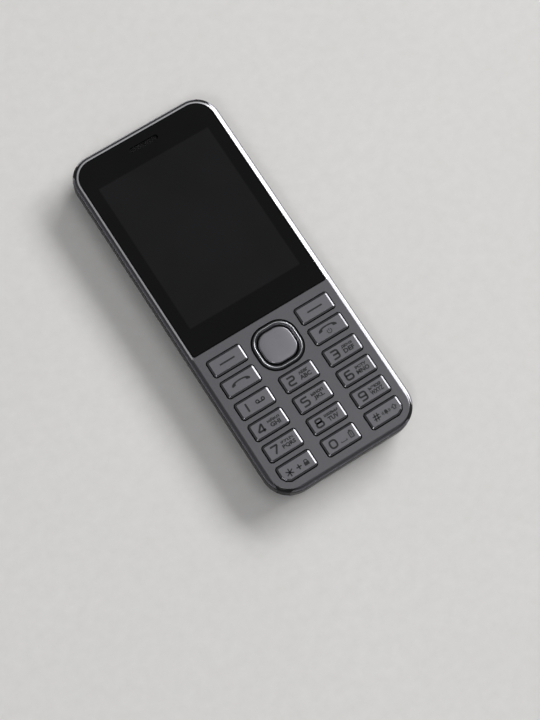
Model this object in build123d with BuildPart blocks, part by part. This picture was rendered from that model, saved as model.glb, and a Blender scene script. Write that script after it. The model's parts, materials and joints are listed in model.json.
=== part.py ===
from build123d import *
from math import cos, radians, sin, tan
import os

# Feature phone with a keypad, lying on its back. Millimetres.
# Origin: middle of the footprint on the back's lowest plane. X runs to the user's right,
# Y towards the earpiece end and Z out of the screen.

# Body
body_width = 56.4
body_length = 135.2
body_thickness = 11.6
top_corner_radius = 8.8
bottom_corner_radius = 10.0
rolled_edge_radius = 1.4
rim_turn_angle = 22.5
flat_turn_angle = 30
widest_depth = 1.4
back_edge_radius = 7.0
side_draft_angle = 1.6
parting_height = 4.6
parting_gap = 0.12
overrun = 2.0
slip_gap = 0.1
glue_gap = 0.05

# Front housing
face_thickness = 1.6
side_wall = 1.4
window_rim_chamfer = 0.25

# Window and display
window_side_margin = 2.4
window_thickness = 1.0
window_corner_radius = 6.5
window_foot_radius = 0.5
window_edge_gap = 0.15
window_top_margin = 2.3
active_rise = 8.8
active_drop = 10.1
display_side_inset = 3.2
display_rim_width = 3.4
display_top_margin = 2.6
display_foot_margin = 7.3
display_thickness = 2.35
display_bezel_rise = 0.25
display_tape = 0.1
display_opening_margin = 1.4
gasket_width = 1.6
gasket_thickness = 0.35
flex_width = 18.0
flex_thickness = 0.3
flex_length = 2.4

# Earpiece
ear_slot_width = 11.0
ear_slot_height = 1.8
ear_slot_drop = 3.9
ear_mesh_thickness = 0.6
ear_mesh_gap = 0.08
ear_duct_width = 9.4
ear_duct_height = 1.0
receiver_width = 12.0
receiver_height = 6.0
receiver_thickness = 2.4

# Keys
key_side_margin = 4.63
column_gap = 4.37
row_gap = 2.15
last_row_rise = 7.49
first_row_drop = 6.87
digit_row_extra = 0.29
key_height = 6.2
key_corner = 1.0
key_corner_housing = 3.5
key_gap = 0.32
key_rise = 0.5
key_edge_run = 0.65
key_edge_drop = 0.3
key_flange = 0.65
key_flange_thickness = 0.4
key_flange_gap = 0.05
key_travel = 0.3
key_stop_gap = 0.05

# Navigation ring and centre key
nav_side_gap = 2.62
nav_overlap = 0.675
nav_flat_side = 1.65
nav_gap = 0.3
nav_rise = 0.75
nav_flange = 0.6
nav_flange_thickness = 0.4
nav_flange_gap = 0.35
nav_band = 1.85
nav_edge = 0.55
rocker_thickness = 0.3
rocker_gap = 0.25
rocker_band = 1.4
ok_side_gap = 0.25
ok_end_gap = 0.35
ok_flat_side = 1.25
ok_rise = 0.65
ok_edge = 0.3
ok_flange = 0.55
ok_flange_thickness = 0.35
ok_lip_relief = 0.4
ok_lip_gap = 0.4

# Board, dome sheet and silicone mat
board_thickness = 0.9
board_edge_gap = 1.0
dome_sheet_thickness = 0.15
dome_sheet_margin = 1.1
dome_radius = 2.0
dome_height = 0.25
dome_slope_angle = 60
nav_dome_inset = 2.45
nav_dome_radius = 1.5
post_radius = 0.8
post_gap = 0.05
post_height = 0.4
mat_web = 0.4
mat_skirt = 0.9
mat_side_gap = 1.2
mat_top_drop = 2.5
mat_foot_gap = 0.9
mat_corner = 2.4
pad_side_inset = 2.4
pad_end_inset = 1.4

# Rear housing, the frame that carries the board and the battery
cover_wall = 1.1
cover_gap = 0.15
chassis_side_gap = 0.1
chassis_floor = 0.5
boss_radius = 1.4
boss_hole_radius = 0.7
boss_gap = 0.2
screw_radius = 0.65
screw_length = 4.6
screw_head_radius = 1.25
screw_head_height = 0.8
screw_pocket_gap = 0.25
screw_seat_depth = 1.9
screw_hole_radius = 0.85
top_screw_inset = 6.2
top_screw_drop = 5.9
middle_screw_inset = 3.6
middle_screw_drop = 0.9

# Battery
battery_side_inset = 6.7
battery_edge = 0.7
battery_side_gap = 0.3
battery_head_gap = 6.2
battery_foot_gap = 2.25
battery_contact_width = 1.6
battery_contact_pitch = 2.6
battery_contact_depth = 0.3
battery_contact_height = 2.0
contact_block_width = 10.0
contact_block_depth = 3.2
contact_block_height = 3.6
contact_reach = 0.2
finger_notch_width = 12.0
finger_notch_depth = 1.6

# Card sockets
card_bay_inset = 5.9
card_bay_length = 18.0
card_bay_gap = 2.4
memory_width = 12.4
sim_end_gap = 1.2
memory_end_gap = 1.7
socket_side_gap = 0.7
socket_gap = 1.4
socket_height = 1.5
socket_wall = 0.25

# Camera, torch and their bezel
camera_drop = 21.6
camera_end_inset = 4.2
torch_end_inset = 4.0
camera_block = 7.0
camera_lens_gap = 0.65
camera_barrel_radius = 2.4
camera_barrel_height = 1.0
camera_fit = 0.2
bezel_width = 17.0
bezel_height = 8.2
bezel_recess = 0.25
bezel_edge = 0.3
bezel_opening_gap = 0.2
camera_glass_radius = 2.7
torch_lens_radius = 1.9
torch_block = 3.6
torch_block_height = 1.2
glass_thickness = 0.6

# Loudspeaker, motor and microphone
speaker_screw_gap = 1.385
speaker_width = 15.5
speaker_height = 10.5
speaker_corner = 2.0
speaker_roof = 1.8
speaker_fit = 0.2
speaker_setback = 0.25
grille_slot_length = 9.0
grille_slot_width = 0.8
grille_pitch = 1.8
motor_gap = 5.25
motor_drop = 2.7
motor_radius = 4.0
motor_thickness = 2.7
motor_fit = 0.15
mic_x = 6.0
mic_inset = 3.2
mic_width = 3.8
mic_length = 3.0
mic_height = 1.1
mic_hole_radius = 0.5

# Sockets at the top end
socket_side_inset = 17.7
jack_bore_radius = 1.8
jack_nozzle_radius = 2.4
jack_body_width = 6.2
jack_body_length = 12.4
jack_body_height = 5.0
jack_body_setback = 2.6
jack_bore_depth = 12.1
jack_hole_gap = 0.2
jack_face_inset = 2.3
usb_width = 7.8
usb_height = 2.9
usb_length = 5.6
usb_wall = 0.3
usb_tongue_height = 0.6
usb_tongue_width = 4.4
usb_hole_width = 9.4
usb_hole_height = 3.9
usb_hole_corner = 1.2
port_cut_depth = 4.0

# Shields and aerial
shield_height = 1.8
shield_fit = 0.2
shield_usb_gap = 0.6
shield_card_gap = 2.5
shield_side_inset = 5.2
shield_jack_gap = 1.0
left_shield_inset = 4.2
left_shield_width = 10.0
aerial_side_inset = 10.2
aerial_height = 2.4
aerial_thickness = 0.3
aerial_slot = 0.6
aerial_foot_gap = 7.3

# Rear cover
notch_length = 5.0
notch_height = 0.9
notch_depth = 0.9
notch_rise = 12.6

# Widths that follow the body
window_width = body_width - 2 * window_side_margin
display_width = body_width - 2 * display_side_inset
active_width = display_width - 2 * display_rim_width
key_width = (body_width - 2 * key_side_margin - 2 * column_gap) / 3
column_pitch = key_width + column_gap
row_pitch = key_height + row_gap
nav_width = 2 * column_pitch - key_width - 2 * nav_side_gap
nav_height = row_pitch + key_height + 2 * nav_overlap
nav_corner = nav_height / 2 - nav_flat_side
nav_inner_width = nav_width - 2 * nav_band
nav_inner_height = nav_height - 2 * nav_band
ok_width = nav_inner_width - 2 * ok_side_gap
ok_height = nav_inner_height - 2 * ok_end_gap
ok_corner = ok_height / 2 - ok_flat_side
pad_width = key_width - 2 * pad_side_inset
pad_height = key_height - 2 * pad_end_inset
mat_width = body_width - 2 * (side_wall + mat_side_gap)
battery_width = body_width - 2 * battery_side_inset
card_bay_width = body_width - 2 * card_bay_inset
sim_width = (card_bay_width - memory_width) / 2 - socket_gap - socket_side_gap
socket_pitch = (memory_width + sim_width) / 2 + socket_gap
aerial_width = body_width - 2 * aerial_side_inset

# Levels: the board, the display and the keys hang from the face, the battery fills what is left
widest_z = body_thickness - widest_depth
face_under_z = body_thickness - face_thickness
ledge_z = body_thickness - window_thickness - glue_gap
display_top_z = face_under_z - gasket_thickness
display_under_z = display_top_z - display_thickness
board_front_z = display_under_z - display_tape
chassis_front_z = board_front_z - board_thickness
bay_ceiling_z = chassis_front_z - chassis_floor
chassis_back_z = cover_wall + cover_gap
battery_under_z = chassis_back_z + glue_gap
battery_thickness = bay_ceiling_z - slip_gap - battery_under_z
camera_foot_z = chassis_back_z + camera_lens_gap
speaker_foot_z = chassis_back_z + speaker_setback
speaker_thickness = chassis_front_z - speaker_roof - speaker_foot_z
screw_seat_z = chassis_front_z - screw_seat_depth
jack_z = board_front_z - jack_body_height / 2
usb_z = chassis_front_z - usb_height / 2
dome_top_z = board_front_z + dome_sheet_thickness + dome_height
web_under_z = dome_top_z + post_gap + post_height
web_top_z = web_under_z + mat_web
key_flange_z = face_under_z - key_flange_gap
key_under_z = key_flange_z - key_flange_thickness
pad_top_z = key_under_z - key_travel - key_stop_gap
key_top_z = body_thickness + key_rise
nav_flange_z = face_under_z - nav_flange_gap
nav_under_z = nav_flange_z - nav_flange_thickness
nav_top_z = body_thickness + nav_rise
rocker_top_z = nav_under_z - rocker_gap
rocker_under_z = rocker_top_z - rocker_thickness
ok_pad_z = web_top_z + glue_gap
ok_under_z = ok_pad_z + key_travel + key_stop_gap
ok_top_z = body_thickness + ok_rise

# Places along the length: the keypad from the foot, the window above it
top_y = body_length / 2
foot_y = -body_length / 2
inner_top_y = top_y - side_wall
inner_foot_y = foot_y + side_wall
star_row_y = foot_y + last_row_rise
seven_row_y = star_row_y + row_pitch
four_row_y = seven_row_y + row_pitch
one_row_y = four_row_y + row_pitch
call_row_y = one_row_y + row_pitch + digit_row_extra
soft_row_y = call_row_y + row_pitch
nav_y = (soft_row_y + call_row_y) / 2
window_foot_y = soft_row_y + first_row_drop
window_top_y = top_y - window_top_margin
window_length = window_top_y - window_foot_y
window_centre_y = (window_top_y + window_foot_y) / 2
active_foot_y = window_foot_y + active_rise
active_top_y = window_top_y - active_drop
active_length = active_top_y - active_foot_y
active_centre_y = (active_top_y + active_foot_y) / 2
opening_width = active_width + 2 * display_opening_margin
opening_length = active_length + 2 * display_opening_margin
display_top_y = active_top_y + display_top_margin
display_foot_y = active_foot_y - display_foot_margin
display_centre_y = (display_top_y + display_foot_y) / 2
display_length = display_top_y - display_foot_y
ear_y = window_top_y - ear_slot_drop
mat_top_y = window_foot_y - mat_top_drop
mat_foot_y = inner_foot_y + mat_foot_gap
mat_centre_y = (mat_top_y + mat_foot_y) / 2
mat_length = mat_top_y - mat_foot_y
notch_y = foot_y + notch_rise

# Places on the back: camera, cards, battery and loudspeaker one below the other
camera_y = top_y - camera_drop
card_bay_top_y = camera_y - bezel_height / 2 - card_bay_gap
card_bay_foot_y = card_bay_top_y - card_bay_length
card_bay_centre_y = (card_bay_top_y + card_bay_foot_y) / 2
lower_screw_y = (seven_row_y + star_row_y) / 2
speaker_foot_y = lower_screw_y + screw_head_radius + screw_pocket_gap + speaker_screw_gap
speaker_y = speaker_foot_y + speaker_height / 2
battery_top_y = card_bay_foot_y - battery_head_gap
battery_foot_y = speaker_y + speaker_height / 2 + battery_foot_gap
battery_length = battery_top_y - battery_foot_y
battery_centre_y = (battery_top_y + battery_foot_y) / 2
bay_top_y = battery_top_y + battery_side_gap
bay_foot_y = battery_foot_y - battery_side_gap
shield_top_y = inner_top_y - usb_length - shield_usb_gap
shield_foot_y = card_bay_top_y + shield_card_gap
shield_length = shield_top_y - shield_foot_y
shield_centre_y = (shield_top_y + shield_foot_y) / 2
jack_body_y = inner_top_y - jack_body_setback - jack_body_length / 2
jack_bay_y = jack_body_y + jack_body_setback
jack_face_y = top_y - jack_face_inset
aerial_y = inner_foot_y + aerial_foot_gap
mic_y = inner_foot_y + mic_inset
motor_y = speaker_y - motor_drop
grille_near_ys = [speaker_y - grille_pitch, speaker_y, speaker_y + grille_pitch]
grille_ys = [speaker_y - 2 * grille_pitch, *grille_near_ys, speaker_y + 2 * grille_pitch]

# Places across the width
right_x = column_pitch
left_x = -column_pitch
camera_x = camera_end_inset - bezel_width / 2
torch_x = bezel_width / 2 - torch_end_inset
jack_x = body_width / 2 - socket_side_inset
usb_x = socket_side_inset - body_width / 2
motor_x = -speaker_width / 2 - motor_gap - motor_radius
left_shield_x = left_shield_inset + left_shield_width / 2 - body_width / 2
right_shield_foot_x = jack_x + jack_body_width / 2 + shield_jack_gap
right_shield_width = body_width / 2 - shield_side_inset - right_shield_foot_x
right_shield_x = right_shield_foot_x + right_shield_width / 2
jack_bay_width = jack_body_width + 2 * slip_gap
jack_bay_length = jack_body_length + 2 * (jack_body_setback + slip_gap)

key_places = {
    "key_soft_left": (left_x, soft_row_y),
    "key_soft_right": (right_x, soft_row_y),
    "key_call": (left_x, call_row_y),
    "key_end": (right_x, call_row_y),
    "key_1": (left_x, one_row_y),
    "key_2": (0, one_row_y),
    "key_3": (right_x, one_row_y),
    "key_4": (left_x, four_row_y),
    "key_5": (0, four_row_y),
    "key_6": (right_x, four_row_y),
    "key_7": (left_x, seven_row_y),
    "key_8": (0, seven_row_y),
    "key_9": (right_x, seven_row_y),
    "key_star": (left_x, star_row_y),
    "key_0": (0, star_row_y),
    "key_hash": (right_x, star_row_y),
}
key_centres = list(key_places.values())
top_screw_x = body_width / 2 - top_screw_inset
middle_screw_x = body_width / 2 - middle_screw_inset
lower_screw_x = column_pitch / 2
screw_centres = [
    (-top_screw_x, top_y - top_screw_drop),
    (top_screw_x, top_y - top_screw_drop),
    (-middle_screw_x, window_foot_y - middle_screw_drop),
    (middle_screw_x, window_foot_y - middle_screw_drop),
    (-lower_screw_x, lower_screw_y),
    (lower_screw_x, lower_screw_y),
]
nav_dome_reach = nav_width / 2 - nav_dome_inset
nav_dome_centres = [
    (nav_dome_reach, nav_y),
    (-nav_dome_reach, nav_y),
    (0, nav_y + nav_dome_reach),
    (0, nav_y - nav_dome_reach),
]


def body_outline(height, inset):
    with BuildSketch(Plane.XY.offset(height)) as outline:
        Rectangle(body_width - 2 * inset, body_length - 2 * inset)
        fillet(outline.vertices().group_by(Axis.Y)[-1], top_corner_radius - inset)
        fillet(outline.vertices().group_by(Axis.Y)[0], bottom_corner_radius - inset)
    return outline.sketch


def flat_reach(radius, turn_angle, step):
    """How far from each side of a corner the flats round its arc meet, counted from one side."""
    reach = radius / cos(radians(turn_angle / 2))
    angle = radians(turn_angle * step - turn_angle / 2)
    return radius - reach * cos(angle), radius - reach * sin(angle)


def outer_form():
    """The whole body: drafted sides that curve into the back, and a rim rolled in three flats."""
    rolled_height = flat_reach(rolled_edge_radius, rim_turn_angle, 1)[1]
    with BuildPart() as form:
        extrude(body_outline(widest_z, 0), amount=-widest_z, taper=side_draft_angle)
        back = form.faces().sort_by(Axis.Z)[0]
        fillet(back.edges(), back_edge_radius)
        extrude(body_outline(widest_z, 0), amount=widest_depth - rolled_height)
        for step in (1, 2, 3):
            inset, drop = flat_reach(rolled_edge_radius, rim_turn_angle, step)
            next_inset, next_drop = flat_reach(rolled_edge_radius, rim_turn_angle, step + 1)
            outline = body_outline(body_thickness - drop, inset)
            extrude(outline, amount=drop - next_drop, taper=rim_turn_angle * step)
    return form.part


def inner_form(side_inset, back_inset, top_z):
    """The body's form inset for walls, up to a height, with two flats in place of the back's curve."""
    curve = back_edge_radius - side_inset
    curve_top_z = back_inset + flat_reach(curve, flat_turn_angle, 1)[1]
    drafted_inset = side_inset + (widest_z - curve_top_z) * tan(radians(side_draft_angle))
    with BuildPart() as form:
        extrude(body_outline(widest_z, side_inset), amount=curve_top_z - widest_z, taper=side_draft_angle)
        for step in (1, 2):
            inset, rise = flat_reach(curve, flat_turn_angle, step)
            next_inset, next_rise = flat_reach(curve, flat_turn_angle, step + 1)
            outline = body_outline(back_inset + rise, drafted_inset + inset)
            extrude(outline, amount=next_rise - rise, taper=flat_turn_angle * step)
        extrude(body_outline(widest_z, side_inset), amount=widest_depth)
        split(bisect_by=Plane.XY.offset(top_z), keep=Keep.BOTTOM)
    return form.part


def flat_cornered(plane, centre, width, height, radii):
    """A rectangle with short flats for corners, their radii from the upper right one, turning left."""
    points = []
    for radius, right, up in zip(radii, (1, -1, -1, 1), (1, 1, -1, -1)):
        steps = (1, 2, 3) if right * up > 0 else (3, 2, 1)
        for step in steps:
            inset, drop = flat_reach(radius, flat_turn_angle, step)
            x = centre[0] + right * (width / 2 - inset)
            y = centre[1] + up * (height / 2 - drop)
            points.append((x, y))
    with BuildSketch(plane) as outline:
        with BuildLine():
            Polyline(*points, close=True)
        make_face()
    return outline.sketch


def key_outline(plane, grow, name):
    """A key's outline, grown all round. The lowest outer keys follow the housing's corner."""
    lower_left = key_corner_housing if name == "key_star" else key_corner
    lower_right = key_corner_housing if name == "key_hash" else key_corner
    radii = [key_corner + grow, key_corner + grow, lower_left + grow, lower_right + grow]
    return flat_cornered(plane, key_places[name], key_width + 2 * grow, key_height + 2 * grow, radii)


def key_flange_outline(plane, name):
    """The flange under a key's cap: square, but for the housing's corner."""
    with BuildSketch(plane) as outline:
        with Locations(key_places[name]):
            Rectangle(key_width + 2 * key_flange, key_height + 2 * key_flange)
        if name in ("key_star", "key_hash"):
            add(key_outline(Plane.XY, key_flange, name), mode=Mode.INTERSECT)
    return outline.sketch


def mat_outline(plane, inset):
    """The keypad zone's outline, with feet that follow the housing's lower corners."""
    top_corner = mat_corner - inset
    foot_corner = bottom_corner_radius - side_wall - mat_side_gap - inset
    radii = [top_corner, top_corner, foot_corner, foot_corner]
    return flat_cornered(plane, (0, mat_centre_y), mat_width - 2 * inset, mat_length - 2 * inset, radii)


def window_outline(plane, grow):
    with BuildSketch(plane) as outline:
        with Locations((0, window_centre_y)):
            Rectangle(window_width + 2 * grow, window_length + 2 * grow)
        fillet(outline.vertices().group_by(Axis.Y)[-1], window_corner_radius + grow)
        fillet(outline.vertices().group_by(Axis.Y)[0], window_foot_radius + grow)
    return outline.sketch


def hexagon(flat_radius):
    """A six-sided outline in the open sketch, its flats at the given distance."""
    return RegularPolygon(flat_radius, 6, major_radius=False)


def near_round(radius):
    """A round outline in the open sketch, made of short flats inside the given radius."""
    return RegularPolygon(radius, 16)


def usb_hole_outline(plane):
    """The charging opening's outline on a plane across the top end."""
    return flat_cornered(plane, (usb_x, usb_z), usb_hole_width, usb_hole_height, 4 * [usb_hole_corner])


def cut_ports():
    """The two openings in the top end, cut from the open part."""
    with BuildSketch(Plane.XZ.offset(port_cut_depth - inner_top_y)) as openings:
        with Locations((jack_x, jack_z)):
            Circle(jack_nozzle_radius + jack_hole_gap)
        add(usb_hole_outline(Plane.XY))
    extrude(openings.sketch, amount=-port_cut_depth - side_wall - overrun, mode=Mode.SUBTRACT)


def ear_slot_outline(height, inset):
    width = ear_slot_width - 2 * inset
    length = ear_slot_height - 2 * inset
    return flat_cornered(Plane.XY.offset(height), (0, ear_y), width, length, 4 * [length / 2])


def grille_slot(y):
    """One slot of the loudspeaker's grille, with ends of short flats."""
    corners = 4 * [grille_slot_width / 2]
    return flat_cornered(Plane.XY, (0, y), grille_slot_length, grille_slot_width, corners)


def speaker_outline(height, fit):
    centre = (0, speaker_y)
    width = speaker_width + 2 * fit
    length = speaker_height + 2 * fit
    return flat_cornered(Plane.XY.offset(height), centre, width, length, 4 * [speaker_corner + fit])


def write(piece, label):
    piece.label = label
    export_step(piece, "parts/" + label + ".step")


os.makedirs("parts", exist_ok=True)

body = outer_form()
cover_cavity = inner_form(cover_wall, cover_wall, parting_height + overrun)
front_cavity = inner_form(side_wall, cover_wall, face_under_z)
chassis_form = inner_form(side_wall + chassis_side_gap, chassis_back_z, chassis_front_z)

# Front housing: a moulded tray with the window seat, the key openings and the screw bosses
with BuildPart() as front_housing:
    add(body)
    split(bisect_by=Plane.XY.offset(parting_height + parting_gap), keep=Keep.TOP)
    add(front_cavity, mode=Mode.SUBTRACT)
    extrude(window_outline(Plane.XY.offset(ledge_z), window_edge_gap), amount=overrun, mode=Mode.SUBTRACT)
    rim = front_housing.faces().sort_by(Axis.Z)[-1].inner_wires()
    chamfer(rim.edges(), window_rim_chamfer)
    with BuildSketch(Plane.XY.offset(ledge_z)):
        with Locations((0, active_centre_y)):
            Rectangle(opening_width, opening_length)
        with Locations((0, ear_y)):
            Rectangle(ear_duct_width, ear_duct_height)
    extrude(amount=-face_thickness, mode=Mode.SUBTRACT)
    with BuildSketch(Plane.XY.offset(body_thickness)):
        for name in key_places:
            add(key_outline(Plane.XY, key_gap, name))
        with Locations((0, nav_y)):
            RectangleRounded(nav_width + 2 * nav_gap, nav_height + 2 * nav_gap, nav_corner + nav_gap)
    extrude(amount=-face_thickness - overrun, mode=Mode.SUBTRACT)
    with BuildSketch(Plane.XY.offset(chassis_front_z)):
        with Locations(*screw_centres):
            hexagon(boss_radius)
    extrude(amount=face_under_z - chassis_front_z)
    with BuildSketch(Plane.XY.offset(chassis_front_z)):
        with Locations(*screw_centres):
            hexagon(boss_hole_radius)
    extrude(amount=screw_seat_z + screw_length - chassis_front_z + slip_gap, mode=Mode.SUBTRACT)
    cut_ports()
    with BuildSketch(Plane.XZ.offset(-foot_y + overrun)):
        with Locations((mic_x, chassis_front_z - mic_height / 2)):
            hexagon(mic_hole_radius)
    extrude(amount=-overrun - side_wall - overrun, mode=Mode.SUBTRACT)
write(front_housing.part, "front_housing")

# Window: one flat black-bordered pane with the earpiece slot
with BuildPart() as display_window:
    extrude(window_outline(Plane.XY.offset(ledge_z + glue_gap), 0), amount=window_thickness)
    extrude(ear_slot_outline(body_thickness, 0), amount=-window_thickness - overrun, mode=Mode.SUBTRACT)
write(display_window.part, "display_window")

with BuildPart() as earpiece_mesh:
    extrude(ear_slot_outline(ledge_z, ear_mesh_gap), amount=ear_mesh_thickness)
write(earpiece_mesh.part, "earpiece_mesh")

with BuildPart() as earpiece_receiver:
    with BuildSketch(Plane.XY.offset(face_under_z - glue_gap)):
        with Locations((0, ear_y)):
            Rectangle(receiver_width, receiver_height)
    extrude(amount=-receiver_thickness)
write(earpiece_receiver.part, "earpiece_receiver")

# Display: a module with a metal rim, its foam gasket and the flex tail at its foot
with BuildPart() as display_module:
    with BuildSketch(Plane.XY.offset(display_under_z)):
        with Locations((0, display_centre_y)):
            Rectangle(display_width, display_length)
    extrude(amount=display_thickness)
    with BuildSketch(Plane.XY.offset(display_top_z)):
        with Locations((0, active_centre_y)):
            Rectangle(active_width, active_length)
    extrude(amount=-display_bezel_rise, mode=Mode.SUBTRACT)
    with BuildSketch(Plane.XY.offset(display_under_z)):
        with Locations((0, display_foot_y - flex_length / 2)):
            Rectangle(flex_width, flex_length)
    extrude(amount=flex_thickness)
write(display_module.part, "display_module")

with BuildPart() as display_gasket:
    with BuildSketch(Plane.XY.offset(display_top_z)):
        with Locations((0, active_centre_y)):
            Rectangle(opening_width + 2 * gasket_width, opening_length + gasket_width)
            Rectangle(opening_width, opening_length, mode=Mode.SUBTRACT)
    extrude(amount=gasket_thickness)
write(display_gasket.part, "display_gasket")

# Keys: a flat cap with polished edges on a flange that the housing holds down
for name in key_places:
    key_under = Plane.XY.offset(key_under_z)
    with BuildPart() as key:
        extrude(key_outline(key_under, 0, name), amount=key_top_z - key_under_z)
        key_face = key.faces().sort_by(Axis.Z)[-1]
        chamfer(key_face.edges(), key_edge_run, key_edge_drop, reference=key_face)
        extrude(key_flange_outline(key_under, name), amount=key_flange_thickness)
    write(key.part, name)

# Navigation ring: a bright rocking frame on a flange
nav_middle = (0, nav_y)
nav_under = Plane.XY.offset(nav_under_z)
with BuildPart() as nav_ring:
    with BuildSketch(nav_under):
        with Locations(nav_middle):
            RectangleRounded(nav_width, nav_height, nav_corner)
    extrude(amount=nav_top_z - nav_under_z)
    flange_corners = 4 * [nav_corner + nav_flange]
    flange_width = nav_width + 2 * nav_flange
    flange_height = nav_height + 2 * nav_flange
    flange = flat_cornered(nav_under, nav_middle, flange_width, flange_height, flange_corners)
    extrude(flange, amount=nav_flange_thickness)
    inner_corners = 4 * [nav_corner - nav_band]
    opening = flat_cornered(nav_under, nav_middle, nav_inner_width, nav_inner_height, inner_corners)
    extrude(opening, amount=nav_top_z - nav_under_z, mode=Mode.SUBTRACT)
    chamfer(nav_ring.faces().sort_by(Axis.Z)[-1].edges(), nav_edge)
    relief_reach = ok_flange + ok_lip_gap
    relief_corners = 4 * [ok_corner + relief_reach]
    relief_width = ok_width + 2 * relief_reach
    relief_height = ok_height + 2 * relief_reach
    relief = flat_cornered(nav_under, nav_middle, relief_width, relief_height, relief_corners)
    extrude(relief, amount=ok_lip_relief, mode=Mode.SUBTRACT)
write(nav_ring.part, "nav_ring")

# Rocker plate: the thin frame under the ring that carries it for the up and down tilt
with BuildPart() as nav_rocker:
    rocker_under = Plane.XY.offset(rocker_under_z)
    hole_corners = 4 * [nav_corner - rocker_band]
    hole_width = nav_width - 2 * rocker_band
    hole_height = nav_height - 2 * rocker_band
    plate = flat_cornered(rocker_under, nav_middle, nav_width, nav_height, 4 * [nav_corner])
    hole = flat_cornered(rocker_under, nav_middle, hole_width, hole_height, hole_corners)
    extrude(plate, amount=rocker_thickness)
    extrude(hole, amount=rocker_thickness, mode=Mode.SUBTRACT)
write(nav_rocker.part, "nav_rocker")

# Centre key
with BuildPart() as nav_ok:
    ok_under = Plane.XY.offset(ok_under_z)
    with BuildSketch(ok_under):
        with Locations(nav_middle):
            RectangleRounded(ok_width, ok_height, ok_corner)
    extrude(amount=ok_top_z - ok_under_z)
    chamfer(nav_ok.faces().sort_by(Axis.Z)[-1].edges(), ok_edge)
    lip_width = ok_width + 2 * ok_flange
    lip_height = ok_height + 2 * ok_flange
    lip = flat_cornered(ok_under, nav_middle, lip_width, lip_height, 4 * [ok_corner + ok_flange])
    extrude(lip, amount=ok_flange_thickness)
write(nav_ok.part, "nav_ok")

# Silicone mat: a web with a pad under each key, a post over each dome and a standing skirt
board_front = Plane.XY.offset(board_front_z)
with BuildPart() as keypad_mat:
    extrude(mat_outline(board_front, 0), amount=web_top_z - board_front_z)
    extrude(mat_outline(board_front, mat_skirt), amount=web_under_z - board_front_z, mode=Mode.SUBTRACT)
    with BuildSketch(Plane.XY.offset(web_top_z)):
        with Locations(*key_centres):
            Rectangle(pad_width, pad_height)
    extrude(amount=pad_top_z - web_top_z)
    with BuildSketch(Plane.XY.offset(web_top_z)):
        with Locations(nav_middle):
            hexagon(dome_radius)
    extrude(amount=ok_pad_z - web_top_z)
    with BuildSketch(Plane.XY.offset(web_under_z)):
        with Locations(*key_centres, nav_middle, *nav_dome_centres):
            hexagon(post_radius)
    extrude(amount=-post_height)
    with BuildSketch(board_front):
        with Locations(*screw_centres):
            hexagon(boss_radius + boss_gap)
    extrude(amount=web_top_z - board_front_z, mode=Mode.SUBTRACT)
write(keypad_mat.part, "keypad_mat")

# Dome sheet: a thin film with a snap dome under each post
with BuildPart() as dome_sheet:
    extrude(mat_outline(board_front, dome_sheet_margin), amount=dome_sheet_thickness)
    with BuildSketch(board_front):
        with Locations(*screw_centres):
            hexagon(boss_radius + boss_gap)
    extrude(amount=dome_sheet_thickness, mode=Mode.SUBTRACT)
    with BuildSketch(Plane.XY.offset(board_front_z + dome_sheet_thickness)):
        with Locations(*key_centres, nav_middle):
            hexagon(dome_radius)
        with Locations(*nav_dome_centres):
            hexagon(nav_dome_radius)
    extrude(amount=dome_height, taper=dome_slope_angle)
write(dome_sheet.part, "dome_sheet")

# Main board, cut back for the screw bosses and the audio socket
with BuildPart() as main_board:
    extrude(body_outline(chassis_front_z, side_wall + board_edge_gap), amount=board_thickness)
    with BuildSketch(Plane.XY.offset(chassis_front_z)):
        with Locations(*screw_centres):
            hexagon(boss_radius + boss_gap)
        with Locations((jack_x, jack_bay_y)):
            Rectangle(jack_bay_width, jack_bay_length)
    extrude(amount=board_thickness, mode=Mode.SUBTRACT)
write(main_board.part, "main_board")

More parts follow.
